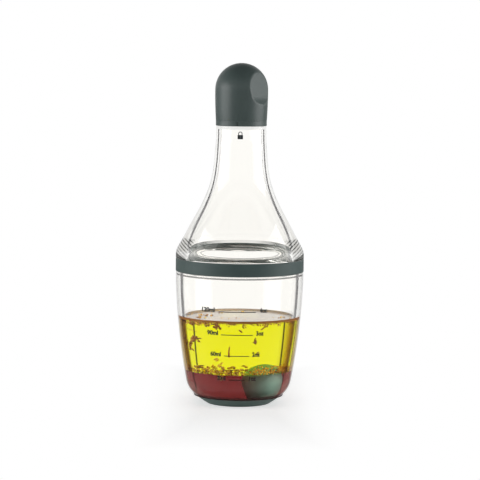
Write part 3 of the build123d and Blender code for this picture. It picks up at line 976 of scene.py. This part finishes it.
def herbFlakes():
    chance = random.Random(herbs["seed"])
    dark, bright = bmesh.new(), bmesh.new()
    wallFlakes(chance, "dark", dark)
    wallFlakes(chance, "bright", bright)
    rimFlakes(chance, dark, bright)
    layerCrumbs(chance, dark, bright)
    heapCrumbs(chance, dark, bright)
    floatingFlakes(chance, dark, bright)
    for name, shape, look in (("herbFlakes", dark, "driedHerb"), ("spiceCrumbs", bright, "spiceCrumb")):
        finishShape(name, shape, finishes[look], "cup")


def saffronThreads():
    chance = random.Random(herbs["seed"] + 1)
    whole = bmesh.new()
    for startAcross, startHeight, endAcross, endHeight in saffron["threads"]:
        disc = bmesh.ops.create_circle(whole, cap_ends=True, segments=saffron["sides"], radius=saffron["width"])
        ring = disc["verts"]
        face = [end for end in whole.faces if set(end.verts) == set(ring)]
        bend = chance.uniform(-saffron["bend"], saffron["bend"])
        for step in range(saffron["steps"] + 1):
            share = step / saffron["steps"]
            spot = frontSpot((startAcross + (endAcross - startAcross) * share + bend * math.sin(share * 3.14)) * mm,
                             (startHeight + (endHeight - startHeight) * share) * mm, saffron["behindWall"])
            if step:
                grown = bmesh.ops.extrude_face_region(whole, geom=face)["geom"]
                ring, face = only(grown, bmesh.types.BMVert), only(grown, bmesh.types.BMFace)
            middle = sum((vert.co for vert in ring), Vector()) / len(ring)
            wide = saffron["width"] * (saffron["thin"] + saffron["thicker"] * share)
            for vert in ring:
                offset = vert.co - middle
                vert.co = spot + offset.normalized() * wide
    finishShape("saffronThreads", whole, finishes["saffron"], "cup")


herbFlakes()
saffronThreads()
print("herbs done")

# Studio: white backdrop, two wide soft boxes, pale floor
studio = {
    "boxDistance": 0.95,
    "boxWidth": 0.85,
    "boxHeight": 0.50,
    "boxCentre": 0.22,
    "boxAim": 0.1,                # height that the boxes point at
    "boxAngles": (-76.0, 84.0),   # from the camera's side
    "boxPower": 4.8,
    "fillLight": ((0.0, 0.72), (0.5, 0.42), (1.0, 0.85)),     # from the camera's side to the far side
    "fillAbove": ((0.0, 1.0), (0.25, 0.85), (0.8, 0.15)),
    "glossLevel": 0.3,            # of the backdrop, as the pieces mirror it
    "strips": ((0.0, 1.0), (0.358, 1.0), (0.367, 0.06), (0.380, 0.06), (0.389, 1.0), (0.5, 1.0)),
    "above": ((0.0, 1.0), (0.45, 1.0), (0.75, 0.35), (1.0, 0.3)),
}
floorLook = {
    "size": 3.0,
    "shade": 0.94, "drift": 0.99, "blotch": 0.4,
    "glow": 0.445,
    "mirror": 0.85,               # how much darker the floor is as the pieces mirror it
    "dull": (0.02, 0.02, 0.02),
    # where the floor turns plain white, to the sides and to the front, in tenths and in fifths of a metre
    "sideScale": 10, "sides": ((0.20, 0.1), (0.30, 0.5), (0.40, 0.85), (0.52, 1.0)),
    "frontScale": 5, "front": ((0.15, 0.0), (0.75, 1.0)),
}


def softBox(name, angle):
    lamp = bpy.data.lights.new(name, "AREA")
    lamp.shape = "RECTANGLE"
    lamp.size = studio["boxWidth"]
    lamp.size_y = studio["boxHeight"]
    lamp.energy = studio["boxPower"]
    holder = bpy.data.objects.new(name, lamp)
    turn = math.radians(angle)
    distance = studio["boxDistance"]
    holder.location = (math.sin(turn) * distance, -math.cos(turn) * distance, studio["boxCentre"])
    aim = Vector((0, 0, studio["boxAim"])) - holder.location
    holder.rotation_euler = aim.to_track_quat("-Z", "Y").to_euler()
    bpy.context.scene.collection.objects.link(holder)


def mirroredRay(graph):  # glossy, but not bent through the clear pieces
    return graph.ray("Is Glossy Ray") * (1 - graph.ray("Is Transmission Ray"))


def seenDirectly(graph):  # rays that no matt surface has scattered; mirrored ones count for less
    plain = graph.maths("MAXIMUM", graph.ray("Is Camera Ray"), graph.ray("Is Transmission Ray"))
    straight = 1 - graph.maths("MINIMUM", graph.ray("Diffuse Depth"), 1)
    return graph.maths("MAXIMUM", plain, graph.ray("Is Glossy Ray") * studio["glossLevel"]) * straight


def studioWorld():
    world = bpy.data.worlds.new("studioWorld")
    world.use_nodes = True
    graph = Graph(world.node_tree)
    direction = graph.add("ShaderNodeTexCoord", {}, {}, output="Generated")
    across = graph.add("ShaderNodeSeparateXYZ", {}, {"Vector": direction}, output="X")
    along = graph.add("ShaderNodeSeparateXYZ", {}, {"Vector": direction}, output="Y")
    up = graph.add("ShaderNodeSeparateXYZ", {}, {"Vector": direction}, output="Z")
    turn = graph.maths("ARCTAN2", across, along) / (math.pi / 2)
    quarter = graph.maths("PINGPONG", turn + 4, 0.5)      # 0 at each of the four backdrops
    around = graph.ramp(quarter, studio["strips"])
    above = graph.blend(mirroredRay(graph), (1, 1, 1), graph.ramp(up, studio["above"]))
    pattern = graph.add("ShaderNodeMix", {"data_type": "RGBA", "blend_type": "MULTIPLY"},
                        {"Factor": 1.0, 6: around, 7: above}, output=2)
    seen = graph.blend(graph.ray("Is Camera Ray"), pattern, (1, 1, 1))
    soft = graph.ramp(along * 0.5 + 0.5, studio["fillLight"]) * graph.ramp(up, studio["fillAbove"])
    level = graph.blend(seenDirectly(graph), soft, seen)
    back = graph.add("ShaderNodeBackground", {}, {"Color": level, "Strength": 1.0})
    graph.add("ShaderNodeOutputWorld", {}, {"Surface": back})
    bpy.context.scene.world = world


def studioFloor():
    shape = bmesh.new()
    bmesh.ops.create_grid(shape, x_segments=1, y_segments=1, size=floorLook["size"])
    mesh = meshFrom(shape, "studioFloor")
    floor = bpy.data.objects.new("studioFloor", mesh)
    bpy.context.scene.collection.objects.link(floor)
    material, graph = newMaterial("studioFloor")
    shade = floorLook["shade"]
    paper = graph.blend(graph.noise(graph.place(), floorLook["blotch"]), (shade,) * 3,
                        (shade * floorLook["drift"],) * 3)
    body = graph.add("ShaderNodeBsdfPrincipled", {}, {
        "Base Color": paper, "Roughness": 0.9, "Specular IOR Level": 0.0,
        "Emission Color": graph.blend(seenDirectly(graph), (0, 0, 0), (floorLook["glow"],) * 3),
        "Emission Strength": 1.0,
    })
    fade = graph.maths("MAXIMUM", graph.ramp(graph.away("X") * floorLook["sideScale"], floorLook["sides"]),
                       graph.ramp(graph.away("Y") * floorLook["frontScale"], floorLook["front"]))
    seen = graph.mixed(fade * seenDirectly(graph), body, graph.glow((1, 1, 1)))
    surface(graph, graph.mixed(mirroredRay(graph) * floorLook["mirror"], seen, graph.matt(floorLook["dull"])))
    mesh.materials.append(material)


for number, angle in enumerate(studio["boxAngles"]):
    softBox("softBox" + str(number + 1), angle)
studioWorld()
studioFloor()

# Camera: a long lens a little above the shoulder, at the photograph's angle
view = {
    "distance": 1.250,
    "height": 200.7 * mm,
    "pitch": 5.004,
    "roll": 0.65,
    "lens": 168.75,
    "sensor": 36.0,
}
lens = bpy.data.cameras.new("camera")
lens.lens = view["lens"]
lens.sensor_width = view["sensor"]
camera = bpy.data.objects.new("camera", lens)
camera.location = (0, -view["distance"], view["height"])
aim = Matrix.Rotation(math.radians(90 - view["pitch"]), 3, "X") @ Matrix.Rotation(math.radians(view["roll"]), 3, "Z")
camera.rotation_euler = aim.to_euler()
bpy.context.scene.collection.objects.link(camera)
bpy.context.scene.camera = camera
bpy.context.scene.view_settings.view_transform = "Standard"
print("studio and camera done")
